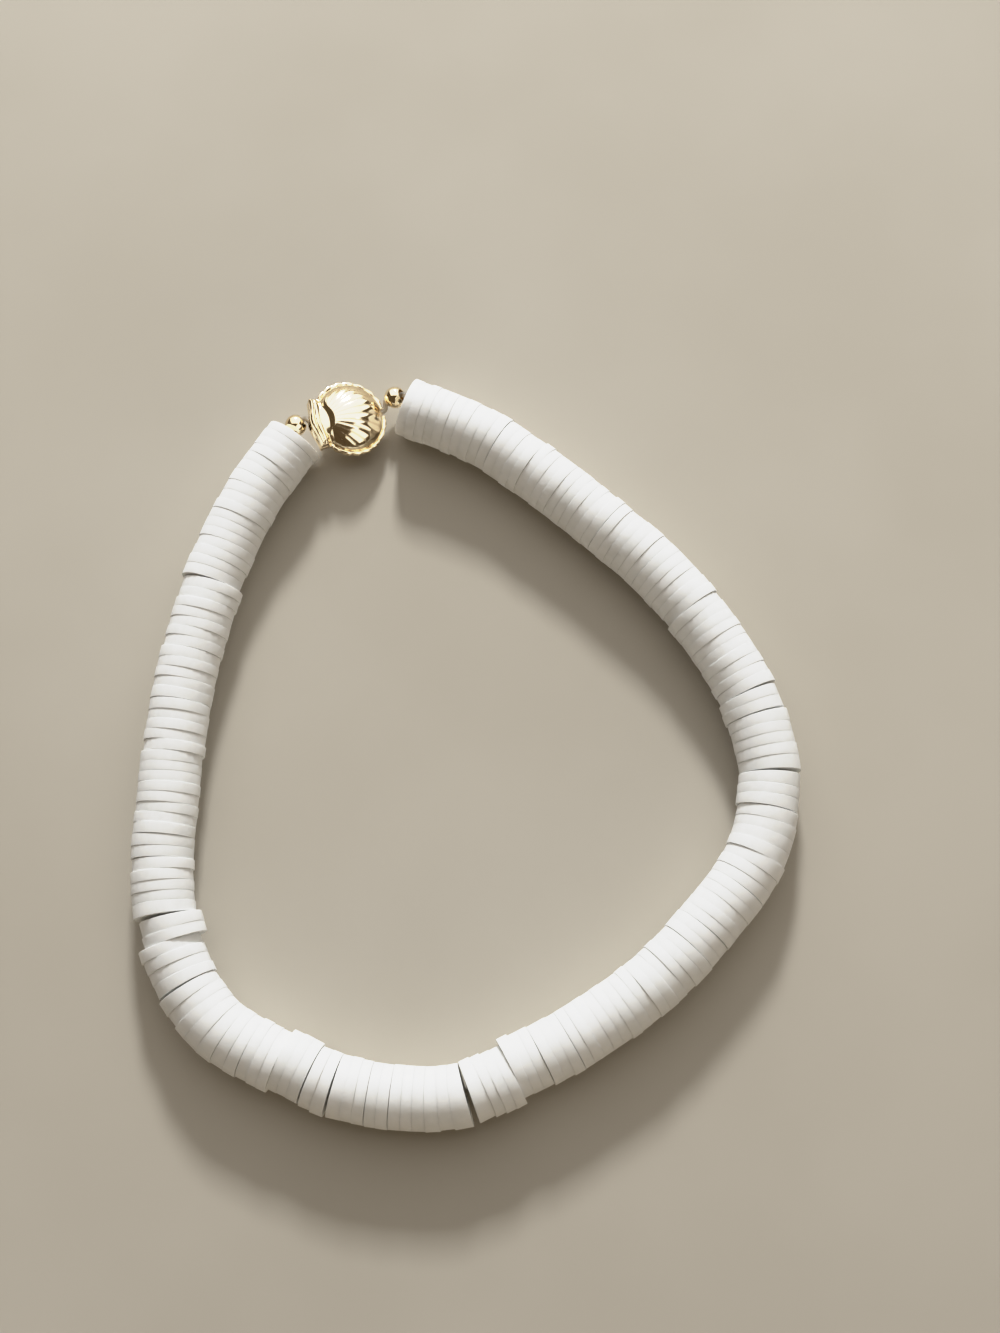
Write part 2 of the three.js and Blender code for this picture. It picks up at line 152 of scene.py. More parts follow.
def t_at(places):
    """The spline's parameter at each length along the string."""
    return np.interp(places, ROUTE_LENGTHS, ROUTE_T)


def direction_at(places):
    """The string's level direction, from two points close together."""
    t = t_at(places)
    near = 1e-4
    return rows_normalized(route_at(t + near) - route_at(t - near))


print("the string of discs is", round(STRING_LENGTH, 2), "mm long")

# %% [markdown]
# ## Where each disc lies
#
# Real heishi are sliced from a rolled stick of clay. The slices differ a little in thickness, and
# on a slack thread some lean, open to one side or stand proud of their neighbours. One list of
# fixed pseudo-random numbers gives the small scatter, and the table of partings gives the places
# where the string plainly opens. Each neighbour then needs room for its thickness and for the
# wedge between two leaning faces, and what is left of the string's length is shared out evenly.

# %% How the discs differ
# The kinds of difference; each has its own row of numbers, by its place in this list.
KINDS = (
    "thickness", "lean", "nod", "sideways", "lift", "edge", "size", "oval_turn", "oval", "tone",
    "flush",
)
PARTING_REACH = 3.0


def differ(index, kind):
    """A fixed number from -1 to 1 for each disc and each kind of difference: the fraction of a
    very steep sine wave."""
    wave = np.sin(index * 12.9898 + (KINDS.index(kind) + 1) * 78.233) * 43758.5453
    return 2 * (wave - np.floor(wave)) - 1


def parting_effect(numbers):
    """Lean, step and nod of each disc: half of every parting's value, with the sign of the side
    that the disc is on, fading exponentially with the number of discs between."""
    past = numbers[:, None] - AFTER
    side = np.where(past > 0, 1, -1)
    away = np.abs(past - 0.5) - 0.5
    share = 0.5 * side * np.exp(-away / PARTING_REACH)
    return share @ OPENS, share @ STEP, -share @ TIPS


INDEX = np.arange(DISC["count"])
LEAN, STAND, NOD = parting_effect(INDEX + 1)
THICKNESS = DISC["thickness"] + SPREAD["thickness"] * differ(INDEX, "thickness")
LEAN = np.radians(LEAN + SPREAD["lean"] * differ(INDEX, "lean"))
NOD = np.radians(NOD + SPREAD["nod"] * differ(INDEX, "nod"))
STAND = STAND + SPREAD["sideways"] * differ(INDEX, "sideways")
LIFT = SPREAD["lift"] * np.maximum(0, differ(INDEX, "lift"))
print("discs lean by", np.degrees([LEAN.min(), LEAN.max()]).round(1).tolist(), "degrees")

# %% Lay out the discs
# The discs of the solid model have twelve straight sides drawn round the circle, and their
# corners decide how much room a lean takes.
SIDES = 12
RADIUS = DISC["diameter"] / 2
REACH = RADIUS / math.cos(math.pi / SIDES)
LAYOUT_ROUNDS = 4


def disc_axes(places):
    """The string's direction, turned level by the lean and then raised by the nod."""
    x, y = direction_at(places).T
    level = np.stack([x * np.cos(LEAN) - y * np.sin(LEAN), x * np.sin(LEAN) + y * np.cos(LEAN)])
    return np.stack([*(level * np.cos(NOD)), np.sin(NOD)], axis=1)


def lay_out():
    """Places along the string: each pair's room is their mean thickness, the wedge between their
    faces (reach times angle), the common gap and the parting's own gap."""
    extra = np.zeros(DISC["count"] - 1)
    extra[AFTER - 1] = EXTRA
    places = (INDEX + 0.5) / DISC["count"] * STRING_LENGTH
    for _ in range(LAYOUT_ROUNDS):
        axes = disc_axes(places)
        turn = np.arccos(np.clip((axes[:-1] * axes[1:]).sum(1), -1, 1))
        rooms = (THICKNESS[:-1] + THICKNESS[1:]) / 2 + REACH * turn + DISC["gap"] + extra
        needed = rooms.sum() + (THICKNESS[0] + THICKNESS[-1]) / 2
        spare = (STRING_LENGTH - needed) / len(rooms)
        places = np.append(0, np.cumsum(rooms + spare)) + THICKNESS[0] / 2
    return places, axes, spare


def outward_of(axes):
    """The level direction square to each axis, on the outside of the loop."""
    flat = np.stack([axes[:, 1], -axes[:, 0], np.zeros(len(axes))], axis=1)
    return rows_normalized(flat)


SHIFT = np.mean(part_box("ball_bead_left"), axis=0) / MM - BALL_LEFT
PLACES, AXES, SPARE = lay_out()
OUTWARD = outward_of(AXES)
TOPWARD = np.cross(OUTWARD, AXES)
CENTRES = np.zeros((DISC["count"], 3))
CENTRES[:, :2] = route_at(t_at(PLACES)) + OUTWARD[:, :2] * STAND[:, None]
CENTRES[:, 2] = RADIUS * np.cos(NOD) + THICKNESS / 2 * np.abs(np.sin(NOD)) + LIFT
print("first and last disc at", np.round(CENTRES[[0, -1]], 2).tolist(), "spare", round(SPARE, 3))

# %% [markdown]
# ## Short stretches
#
# The solid model joins the discs into short stretches, each ending where the string opens widely.
# The dressed discs are grouped in the same way, one object to a stretch, so each object can stand
# for its own solid. Comparing the two boxes shows that both layouts agree.

# %% Group the discs as the solid model does
MOST_DISCS = 6
SPLIT_OPENS = 4
SPLIT_GAP = 0.1


def stretch_ends():
    """Cuts at the wide partings, then cuts each span into equal parts of at most six discs."""
    wide = AFTER[(OPENS >= SPLIT_OPENS) | (EXTRA >= SPLIT_GAP)]
    stops = [0, *wide, DISC["count"]]
    ends = [0]
    for start, stop in zip(stops, stops[1:]):
        parts = math.ceil((stop - start) / MOST_DISCS)
        ends += [start + math.floor((stop - start) * k / parts + 0.5) for k in range(1, parts + 1)]
    return ends


def apart_from_solid(number, start, stop):
    """The level distance between the middle of a stretch and the middle of its solid's box."""
    middle = np.mean(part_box(f"heishi_stretch_{number:02d}"), axis=0) / MM - SHIFT
    return np.abs(middle[:2] - CENTRES[start:stop, :2].mean(0)).max()


ENDS = stretch_ends()
STRETCHES = [(number, *span) for number, span in enumerate(zip(ENDS, ENDS[1:]), 1)]
print(len(STRETCHES), "stretches, the middles of their solids at most",
      round(max(apart_from_solid(*row) for row in STRETCHES), 2), "mm away")

# %% [markdown]
# ## Helpers for meshes
#
# Almost every piece is a grid of points: so many rows, so many columns, with one or both ways
# closed on themselves. One helper joins such a grid with four-cornered faces, and another puts
# points and faces into an object at the origin. The enclosed volume tells which way faces point.

# %% Mesh helpers


def grid_faces(rows, columns, close_rows=False, close_columns=False):
    """Joins each point to the next row and the next column; a closed way joins last to first."""
    i = np.arange(rows if close_rows else rows - 1)[:, None]
    j = np.arange(columns if close_columns else columns - 1)[None, :]
    i2 = (i + 1) % rows
    j2 = (j + 1) % columns
    corners = [i * columns + j, i2 * columns + j, i2 * columns + j2, i * columns + j2]
    return np.stack(np.broadcast_arrays(*corners), axis=-1).reshape(-1, 4)


def enclosed_volume(points, faces):
    """Sum of the signed tetrahedra from the origin to each half of each face, over six."""
    a, b, c, d = (points[faces[:, k]] for k in range(4))
    halves = np.einsum("ij,ij->i", a, np.cross(b, c)) + np.einsum("ij,ij->i", a, np.cross(c, d))
    return halves.sum() / 6


def facing_out(points, faces):
    """The faces as they are, or turned over if the volume that they enclose is negative."""
    return faces[:, ::-1] if enclosed_volume(points, faces) < 0 else faces


def ring(angles, across, up):
    """For each angle, cos(angle) * across + sin(angle) * up."""
    cosines, sines = np.cos(angles)[:, None], np.sin(angles)[:, None]
    return cosines * across[..., None, :] + sines * up[..., None, :]


def make_piece(name, points, faces, material, fans=()):
    """points in millimetres, faces as rows of four corners, fans as rows of three."""
    mesh = bpy.data.meshes.new(name)
    corners = [*faces.tolist(), *(list(fan) for fan in fans)]
    mesh.from_pydata((points * MM).tolist(), [], corners)
    mesh.polygons.foreach_set("use_smooth", np.ones(len(corners), bool))
    mesh.materials.append(material)
    mesh.update()
    piece = bpy.data.objects.new(name, mesh)
    bpy.context.collection.objects.link(piece)
    return piece


def add_value(piece, name, values):
    """Keeps one number for each point, for the material to read."""
    layer = piece.data.attributes.new(name, "FLOAT", "POINT")
    layer.data.foreach_set("value", np.asarray(values, np.float32).ravel())


def settle(piece, slot, *nodes):
    """The piece rides on the one body and stands for its solids, which it hides; slot is not used.
    """
    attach(piece, "root")
    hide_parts(*nodes)


print("a grid of 3 by 4 points closed both ways has", len(grid_faces(3, 4, True, True)), "faces")

# %% [markdown]
# ## Shared surface effects
#
# Two effects are used by more than one finish, so each is a node group with its own inputs.
# `fine_grain` is the slight unevenness that any rolled, cast or moulded surface has: a broad
# waviness and a fine tooth, given out as a height for a Bump node and as a mask for colour.
# `handling` is what fingers leave: soft smudges and a few hairline scratches. Small helpers come
# first, since the finishes below repeat the same few nodes.

# %% Node group helpers


def new_group(name, inputs, outputs):
    """An empty node group. inputs: (name, default); outputs: names. All are single numbers."""
    tree = bpy.data.node_groups.new(name, "ShaderNodeTree")
    for label, default in inputs:
        socket = tree.interface.new_socket(label, in_out="INPUT", socket_type="NodeSocketFloat")
        socket.default_value = default
    for label in outputs:
        tree.interface.new_socket(label, in_out="OUTPUT", socket_type="NodeSocketFloat")
    return tree, tree.nodes.new("NodeGroupInput"), tree.nodes.new("NodeGroupOutput")


def add_node(tree, kind, values=None, **settings):
    """A node with its settings, its unlinked sockets' values, and its links from other sockets."""
    node = tree.nodes.new(kind)
    for key, value in settings.items():
        setattr(node, key, value)
    for key, value in (values or {}).items():
        if isinstance(value, bpy.types.NodeSocket):
            tree.links.new(value, node.inputs[key])
        else:
            node.inputs[key].default_value = value
    return node


def math_node(tree, operation, first, second=0.0, third=0.0):
    """One sum, product or the like; returns its output socket."""
    node = add_node(tree, "ShaderNodeMath", {0: first, 1: second, 2: third}, operation=operation)
    return node.outputs[0]


def remap(tree, value, low, high, to_low=0.0, to_high=1.0):
    """Takes low..high to to_low..to_high, smoothly, and holds the ends."""
    names = ("Value", "From Min", "From Max", "To Min", "To Max")
    sockets = dict(zip(names, (value, low, high, to_low, to_high)))
    node = add_node(tree, "ShaderNodeMapRange", sockets, interpolation_type="SMOOTHSTEP")
    return node.outputs["Result"]


def mix_colour(tree, share, first, second):
    """A colour between two colours; either may be a socket or four numbers."""
    sockets = {"Factor": share, "A": first, "B": second}
    node = tree.nodes.new("ShaderNodeMix")
    node.data_type = "RGBA"
    for key, value in sockets.items():
        socket = next(s for s in node.inputs if s.name == key and s.enabled)
        if isinstance(value, bpy.types.NodeSocket):
            tree.links.new(value, socket)
        else:
            socket.default_value = value
    return next(s for s in node.outputs if s.enabled)


def link_bump(tree, shader, height, strength, depth):
    """Shades the surface as if the height were relief, depth millimetres deep."""
    values = {"Height": height, "Strength": strength, "Distance": depth * MM}
    bump = add_node(tree, "ShaderNodeBump", values)
    tree.links.new(bump.outputs["Normal"], shader.inputs["Normal"])


def noise(tree, vector, scale, detail):
    """A noise that goes through about scale bumps a metre; returns its height."""
    values = {"Vector": vector, "Scale": scale, "Detail": detail}
    return add_node(tree, "ShaderNodeTexNoise", values).outputs["Fac"]


def read_number(tree, name):
    """A number that each point of the mesh carries."""
    return add_node(tree, "ShaderNodeAttribute", attribute_name=name).outputs["Fac"]


print("nodes for sums, ranges, colours, noise and bumps")

# %% The two groups
SCRATCHES = {"turn": (0.3, 0.5, 0.9), "stretch": (1.0, 0.08, 0.5), "half": 0.012}


def build_fine_grain():
    """Height = broad noise + tooth noise times their shares. Mask = the broad noise alone."""
    inputs = (("Broad per metre", 400.0), ("Tooth per metre", 6000.0), ("Tooth share", 0.3))
    tree, given, result = new_group("fine_grain", inputs, ("Height", "Mask"))
    place = add_node(tree, "ShaderNodeTexCoord").outputs["Object"]
    broad = noise(tree, place, given.outputs["Broad per metre"], detail=3.0)
    tooth = noise(tree, place, given.outputs["Tooth per metre"], detail=2.0)
    height = math_node(tree, "MULTIPLY_ADD", tooth, given.outputs["Tooth share"], broad)
    tree.links.new(height, result.inputs["Height"])
    tree.links.new(remap(tree, broad, low=0.3, high=0.7), result.inputs["Mask"])
    return tree


def build_handling():
    """Smudge = a soft noise, lifted so that only its upper part shows. Scratch = thin bands where
    a stretched, twisted noise crosses its middle value."""
    inputs = (("Smudges per metre", 250.0), ("Scratches per metre", 900.0))
    tree, given, result = new_group("handling", inputs, ("Smudge", "Scratch"))
    place = add_node(tree, "ShaderNodeTexCoord").outputs["Object"]
    smudge = noise(tree, place, given.outputs["Smudges per metre"], detail=4.0)
    tree.links.new(remap(tree, smudge, low=0.45, high=0.75), result.inputs["Smudge"])
    turned = add_node(tree, "ShaderNodeMapping", {
        "Vector": place, "Rotation": SCRATCHES["turn"], "Scale": SCRATCHES["stretch"],
    }).outputs["Vector"]
    line = noise(tree, turned, given.outputs["Scratches per metre"], detail=2.0)
    off = math_node(tree, "ABSOLUTE", math_node(tree, "SUBTRACT", line, 0.5))
    line = remap(tree, off, low=0.0, high=SCRATCHES["half"], to_low=1.0, to_high=0.0)
    tree.links.new(line, result.inputs["Scratch"])
    return tree


FINE_GRAIN = build_fine_grain()
HANDLING = build_handling()


def use_group(tree, group, values):
    """Places a node group in a material with its own values."""
    node = tree.nodes.new("ShaderNodeGroup")
    node.node_tree = group
    for key, value in values.items():
        node.inputs[key].default_value = value
    return node.outputs


def new_finish(name, **sockets):
    """A material with one Principled shader whose constant values are set on its own sockets."""
    material = bpy.data.materials.new(name)
    material.use_nodes = True
    tree = material.node_tree
    shader = tree.nodes["Principled BSDF"]
    for label, value in sockets.items():
        shader.inputs[label.replace("_", " ").title().replace("Ior", "IOR")].default_value = value
    return material, tree, shader


print("node groups:", [group.name for group in bpy.data.node_groups])

# %% [markdown]
# ## The clay
#
# Heishi like these are baked polymer clay: matt, cool white, a touch translucent, with a soft
# sheen where the discs rub. Slices from different sticks differ slightly in tone, so each disc
# carries its own number for tone. A second number says how deep a point sits between two
# discs: there the clay is rougher, and its colour is darkened a little as painted shade.

# %% The clay finish
CLAY_WHITES = ((0.80, 0.81, 0.80, 1), (0.87, 0.875, 0.87, 1))
# Painted shade: the clay's colour is darkened a little towards this grey-brown where it lies deep
# between two discs.
GROOVE_SHADE = (0.52, 0.50, 0.46, 1)
GROOVE_SHADING = 0.06
CLAY_ROUGH = {"base": 0.5, "grain": 0.14, "rubbed": -0.08, "groove": 0.15}


def build_clay():
    """Colour = two whites mixed by the disc's tone and the grain, then darkened in the grooves
    between discs as painted shade. Roughness follows the grain and is lower on the rubbed rims."""
    material, tree, shader = new_finish(
        "white_clay", roughness=0.6, ior=1.5, subsurface_weight=0.3, subsurface_scale=0.0007,
    )
    shader.inputs["Subsurface Radius"].default_value = (1.0, 0.94, 0.88)
    grain = use_group(tree, FINE_GRAIN, {
        "Broad per metre": 900.0, "Tooth per metre": 9000.0, "Tooth share": 0.35,
    })
    marks = use_group(tree, HANDLING, {"Smudges per metre": 350.0})
    groove = read_number(tree, "groove")
    half_grain = math_node(tree, "MULTIPLY", grain["Mask"], 0.5)
    mixed = math_node(tree, "MULTIPLY_ADD", read_number(tree, "tone"), 0.5, half_grain)
    white = mix_colour(tree, mixed, *CLAY_WHITES)
    # painted shade: the colour darkens where the point lies deep between two discs
    colour = mix_colour(tree, math_node(tree, "MULTIPLY", groove, GROOVE_SHADING), white, GROOVE_SHADE)
    tree.links.new(colour, shader.inputs["Base Color"])
    rough = CLAY_ROUGH["base"]
    for mask, kind in ((grain["Mask"], "grain"), (marks["Smudge"], "rubbed"), (groove, "groove")):
        rough = math_node(tree, "MULTIPLY_ADD", mask, CLAY_ROUGH[kind], rough)
    tree.links.new(rough, shader.inputs["Roughness"])
    link_bump(tree, shader, grain["Height"], strength=0.5, depth=0.03)
    return material


CLAY = build_clay()
print("made", CLAY.name)

# %% [markdown]
# ## How neighbouring discs meet
#
# Soft clay slices settle against each other, so on the real string most faces lie flush and only
# a hairline shows between them. Two stiff parallel-sided discs on a bend would leave a wedge. So
# each pair shares a plane halfway between them, and both faces turn from square to the thread
# towards that plane: almost wholly where the discs are pressed together, and about two thirds of
# the way where the string opens widely.

# %% The faces of every disc
# FLUSH: how far the faces turn to their shared plane, 1 for wholly. least: where discs are pressed
# together; parting and wide: at a parting. seldom: a higher power makes loose pairs rarer.
TOUCH = 0.002
FLUSH = {"least": 0.92, "seldom": 3.0, "parting": 0.82, "wide": 0.66}
OPEN_SHARE = 0.28


def pair_gaps():
    """For each pair: how flush the faces lie, 1 for wholly, and half the space between them.
    Most pairs are pressed together: flush = 1 - (1 - least) * share ^ seldom."""
    share = (differ(INDEX[:-1], "flush") + 1) / 2
    flush = 1 - (1 - FLUSH["least"]) * share ** FLUSH["seldom"]
    half_gap = np.full(DISC["count"] - 1, TOUCH / 2)
    pair = AFTER - 1
    flush[pair] = np.where(OPENS >= SPLIT_OPENS, FLUSH["wide"], FLUSH["parting"])
    half_gap[pair] += OPEN_SHARE * EXTRA / 2
    return flush, half_gap


def disc_faces():
    """Normal and distance from the disc's middle of its two faces. A face turned by a share of
    the wedge reaches the shared plane at its rim: distance = (half the way to the neighbour)
    - (half gap) - radius * (the rest of the wedge) / 2."""
    flush, half_gap = pair_gaps()
    shared = rows_normalized(AXES[:-1] + AXES[1:])
    turn = np.arccos(np.clip((AXES[:-1] * AXES[1:]).sum(1), -1, 1))
    way = ((CENTRES[1:] - CENTRES[:-1]) * shared).sum(1) / 2
    reach = way - half_gap - RADIUS * (1 - flush) * turn / 2
    normals = np.stack([AXES, AXES], axis=1)
    along = np.stack([-THICKNESS / 2, THICKNESS / 2], axis=1)
    normals[:-1, 1] = rows_normalized(AXES[:-1] + (shared - AXES[:-1]) * flush[:, None])
    normals[1:, 0] = rows_normalized(AXES[1:] + (shared - AXES[1:]) * flush[:, None])
    along[:-1, 1] = reach
    along[1:, 0] = -reach
    return normals, along


FACE_NORMALS, FACE_ALONG = disc_faces()
made = FACE_ALONG[:, 1] - FACE_ALONG[:, 0]
print("discs are", round(made.min(), 2), "to", round(made.max(), 2), "mm thick, on average",
      round(made.mean(), 2))

# %% [markdown]
# ## One clay disc
#
# A heishi disc is a washer with softened edges. It could be a cylinder with a Bevel modifier, but
# 175 of those are slow and all alike. Here its section is a closed row of six corners, carried
# round the hole. Six corners and 24 columns keep a disc light, and the roundness comes from the
# normals: they lie flat on the faces, point straight out on the rim, and turn in between.

# %% The section of a disc
COLUMNS = 24
EDGE = {"least": 0.006, "most": 0.035, "seldom": 2.5}
SIZE_SPREAD = 0.006
RIM_CROWN = 0.08

EDGES = EDGE["least"] + (EDGE["most"] - EDGE["least"]) * (
    (differ(INDEX, "edge") + 1) / 2) ** EDGE["seldom"]
RADII = RADIUS * (1 + SIZE_SPREAD * differ(INDEX, "size"))
BORES = np.full(DISC["count"], DISC["bore"] / 2)

# Corners of the section: distance from the axis, which face it belongs to, how far it stands
# back from that face, and how deep it lies between two discs, which sets the clay's roughness
# and its painted shade there.
SECTION_OUT = np.stack([BORES, RADII - EDGES, RADII, RADII, RADII - EDGES, BORES], axis=1)
SECTION_FACE = np.array([0, 0, 0, 1, 1, 1])
SECTION_BACK = EDGES[:, None] * np.array([0, 0, 1, -1, 0, 0])
SECTION_GROOVE = np.array([1.0, 0.7, 0.0, 0.0, 0.7, 1.0])

# Normals at the two ends of each side of the section: share outward, share along the axis.
SIDE_NORMALS = rows_normalized(np.array([
    [(0, -1), (0, -1)],
    [(0, -1), (1, -RIM_CROWN)],
    [(1, -RIM_CROWN), (1, RIM_CROWN)],
    [(1, RIM_CROWN), (0, 1)],
    [(0, 1), (0, 1)],
    [(-1, 0), (-1, 0)],
], float))
print("edges are rounded by", round(EDGES.min(), 3), "to", round(EDGES.max(), 3), "mm")

# %% [markdown]
# Slicing squeezes the soft stick, so a real disc is a little oval: its distance from the axis has
# two crests on the way round. Each point then starts square to the thread and slides along it
# until it meets the plane of its face.

# %% Points of all the discs
OVAL = 0.012
ANGLES = (np.arange(COLUMNS) + 0.5) / COLUMNS * 2 * math.pi


def disc_points(chosen):
    """middle + spoke + along * axis. The spoke is out * (cos angle * outward + sin angle *
    topward), and along is the face's distance less (face normal . spoke) / (face normal . axis).
    Shape: disc, corner, column."""
    turn = math.pi * differ(INDEX[chosen], "oval_turn")[:, None, None]
    wave = 1 + OVAL * differ(INDEX[chosen], "oval")[:, None, None] * np.cos(2 * ANGLES + turn)
    out = SECTION_OUT[chosen][:, :, None] * wave
    around = ring(ANGLES, OUTWARD[chosen][:, None], TOPWARD[chosen][:, None])
    spoke = out[..., None] * around
    axis = AXES[chosen][:, None, None, :]
    normal = FACE_NORMALS[chosen][:, SECTION_FACE][:, :, None, :]
    slide = (normal * spoke).sum(-1) / (normal * axis).sum(-1)
    along = (FACE_ALONG[chosen][:, SECTION_FACE] + SECTION_BACK[chosen])[:, :, None] - slide
    grown = (RADII[chosen] - RADIUS + OVAL * RADIUS)[:, None, None, None] * np.array([0, 0, 1])
    middle = (CENTRES[chosen] + SHIFT)[:, None, None, :] + grown
    return middle + spoke + along[..., None] * axis, around


def disc_normals(chosen, around):
    """For each side and column, the four corners' normals: out * around + along * axis."""
    axis = AXES[chosen][:, None, None, :]
    further = np.roll(around, -1, axis=2)
    start, stop = (SIDE_NORMALS[None, :, end, None, :] for end in (0, 1))
    corners = [(start, around), (stop, around), (stop, further), (start, further)]
    parts = [share[..., :1] * way + share[..., 1:] * axis for share, way in corners]
    return np.stack(parts, axis=3)


# %% Build the stretches of discs


def build_stretch(number, start, stop):
    """All discs from start to stop as one object, each a ring of six sides closed both ways.
    Returns the volume of its clay."""
    chosen = slice(start, stop)
    points, around = disc_points(chosen)
    count, corners, columns = points.shape[:3]
    one = grid_faces(corners, columns, close_rows=True, close_columns=True)
    faces = (one[None] + (np.arange(count) * corners * columns)[:, None, None]).reshape(-1, 4)
    normals = disc_normals(chosen, around).reshape(-1, 3)
    piece = make_piece(f"clay_discs_{number:02d}", points.reshape(-1, 3), faces, CLAY)
    piece.data.normals_split_custom_set(normals.tolist())
    tone = (differ(INDEX[chosen], "tone") + 1) / 2
    add_value(piece, "tone", np.repeat(tone, corners * columns))
    # groove: how deep each point lies between two discs, for the clay's roughness and its painted
    # shade.
    add_value(piece, "groove", np.tile(np.repeat(SECTION_GROOVE, columns), count))
    settle(piece, "clay", f"heishi_stretch_{number:02d}")
    return enclosed_volume(points.reshape(-1, 3), faces)


volumes = [build_stretch(*row) for row in STRETCHES]
print(len(volumes), "stretches;", round(sum(volumes), 1), "cubic mm of clay, faces outward:",
      min(volumes) > 0)

# %% [markdown]
# ## The gold
#
# The shell and the balls are plated brass in a pale champagne gold, polished almost to a mirror.
# What makes metal look real is what it reflects, so the finish itself stays simple: a metallic
# shader with a warm colour, slightly duller where fingers touch it and in the grooves of the
# ribs, where polish collects. The same function makes a finish for the shell and one for the
# balls, which have no grooves.

# %% The gold finish
GOLDS = ((0.95, 0.8, 0.55, 1), (0.89, 0.71, 0.44, 1))
POLISH_STAIN = (0.42, 0.27, 0.12, 1)
STAINED = 0.4
GOLD_ROUGH = {"smudge": 0.07, "scratch": 0.08, "groove": 0.15}


def build_gold(name, roughness, waviness):
    """Colour = pale gold, browner in the grooves. Roughness = base + smudges + scratches."""
    material, tree, shader = new_finish(name, metallic=1.0, roughness=roughness)
    marks = use_group(tree, HANDLING, {"Smudges per metre": 420.0, "Scratches per metre": 1500.0})
    grain = use_group(tree, FINE_GRAIN, {
        "Broad per metre": 700.0, "Tooth per metre": 5000.0, "Tooth share": 0.12,
    })
    groove = read_number(tree, "groove")
    gold = mix_colour(tree, marks["Smudge"], *GOLDS)
    stained = math_node(tree, "MULTIPLY", groove, STAINED)
    tree.links.new(mix_colour(tree, stained, gold, POLISH_STAIN), shader.inputs["Base Color"])
    rough = roughness
    masks = ((marks["Smudge"], "smudge"), (marks["Scratch"], "scratch"), (groove, "groove"))
    for mask, kind in masks:
        rough = math_node(tree, "MULTIPLY_ADD", mask, GOLD_ROUGH[kind], rough)
    tree.links.new(rough, shader.inputs["Roughness"])
    link_bump(tree, shader, grain["Height"], strength=waviness, depth=0.03)
    return material


GOLD_SHELL = build_gold("gold_shell", roughness=0.1, waviness=0.35)
GOLD_BALL = build_gold("gold_ball", roughness=0.08, waviness=0.2)
print("made", GOLD_SHELL.name, "and", GOLD_BALL.name)

# %% [markdown]
# ## The scallop shell bead: its outline
#
# A puffed shell bead is two stamped halves joined at a thin lip. Seen from above it is a fan of 17
# ribs from the beak to a scalloped rim, and a hinge with an ear at each end. The outline is a
# distance from the beak for each direction: the body is a circle seen from a point near its
# edge, the hinge is a six-sided plate whose back edge bows out round the hole, and the farther
# of the two is the outline.

# %% Outline of the shell
PER_RIB = 18
BACK_COLUMNS = 110
BEAK = SHELL["beak"] - SHELL["length"] / 2
FAN = math.radians(SHELL["fan"])
WIDEN = SHELL["width"] / (2 * SHELL["radius"])
# EAR: reach, from the middle line to the end of an ear; root, from the back of the plate to its
# front; slope, the length of an ear's flat end and the fall of its slanted side; half and tip,
# half the plate's thickness at its back and at its front. BOW: how far out, and how wide.
EAR = {"reach": 2.65, "half": 0.95, "root": 1.5, "slope": 0.35, "tip": 0.6}
BOW = {"out": 0.5, "half": 1.45, "rounds": 5}
CREST_POWER = 0.7
CORNER_POWER = 26
OUTLINE_FILLET = 0.12


def soft_max(first, second, width):
    """The larger of two numbers, with a fillet of about the given width where they cross."""
    gap = np.abs(first - second)
    return np.maximum(first, second) + np.maximum(0, width - gap) ** 2 / (4 * width)


def bell(distance, half):
    """1 in the middle, fading to nothing: exp(-(distance / half)^2)."""
    return np.exp(-((distance / half) ** 2))


def rib_wave(angle):
    """1 on the crest of each rib and -1 in the groove between two: a cosine, with the grooves
    made a little narrower than the crests. Outside the fan it stays at -1."""
    phase = np.clip((angle + FAN) / (2 * FAN), 0, 1) * SHELL["ribs"]
    half = (1 - np.cos(2 * math.pi * phase)) / 2
    return 2 * half**CREST_POWER - 1


def body_reach(angle):
    """From the beak to the circle of the body, less the scallop between the ribs."""
    offset = -BEAK
    along = offset * np.cos(angle)
    chord = along + np.sqrt(SHELL["radius"] ** 2 - (offset * np.sin(angle)) ** 2)
    return chord + SHELL["scallop"] * (rib_wave(angle) - 1) / 2


def ear_sides():
    """Each side of the plate as its outward direction and its distance from the beak, in the
    plane before it is widened. The first is the back edge."""
    tip = EAR["reach"] / WIDEN
    run = EAR["root"] - EAR["slope"]
    slant = np.array([EAR["slope"], run]) / math.hypot(EAR["slope"], run)
    slant_off = slant @ np.array([-SHELL["length"] / 2 + EAR["slope"] - BEAK, tip])
    sides = [((-1.0, 0.0), SHELL["beak"]), ((1.0, 0.0), EAR["root"] - SHELL["beak"])]
    for sign in (1, -1):
        sides.append(((0.0, float(sign)), tip))
        sides.append(((slant[0], sign * slant[1]), slant_off))
    return np.array([way for way, _ in sides]), np.array([off for _, off in sides])


def hinge_bow(y):
    """How far the back edge of the hinge stands out round the hole: out * bell(y)."""
    return BOW["out"] * bell(y, BOW["half"])


def ear_reach(angle):
    """From the beak to the edge of the plate: the nearest side in that direction, with its
    corners rounded by a high power mean. The bow of the back edge depends on where the edge is
    met, so it is found in a few rounds."""
    ways, offs = ear_sides()
    facing = np.stack([np.cos(angle), np.sin(angle)], axis=-1) @ ways.T
    room = np.tile(offs, (len(angle), 1))
    for _ in range(BOW["rounds"]):
        nearness = np.maximum(facing / room, 1e-9)
        reach = (nearness**CORNER_POWER).sum(-1) ** (-1 / CORNER_POWER)
        room[:, 0] = offs[0] + hinge_bow(reach * np.sin(angle))
    return reach


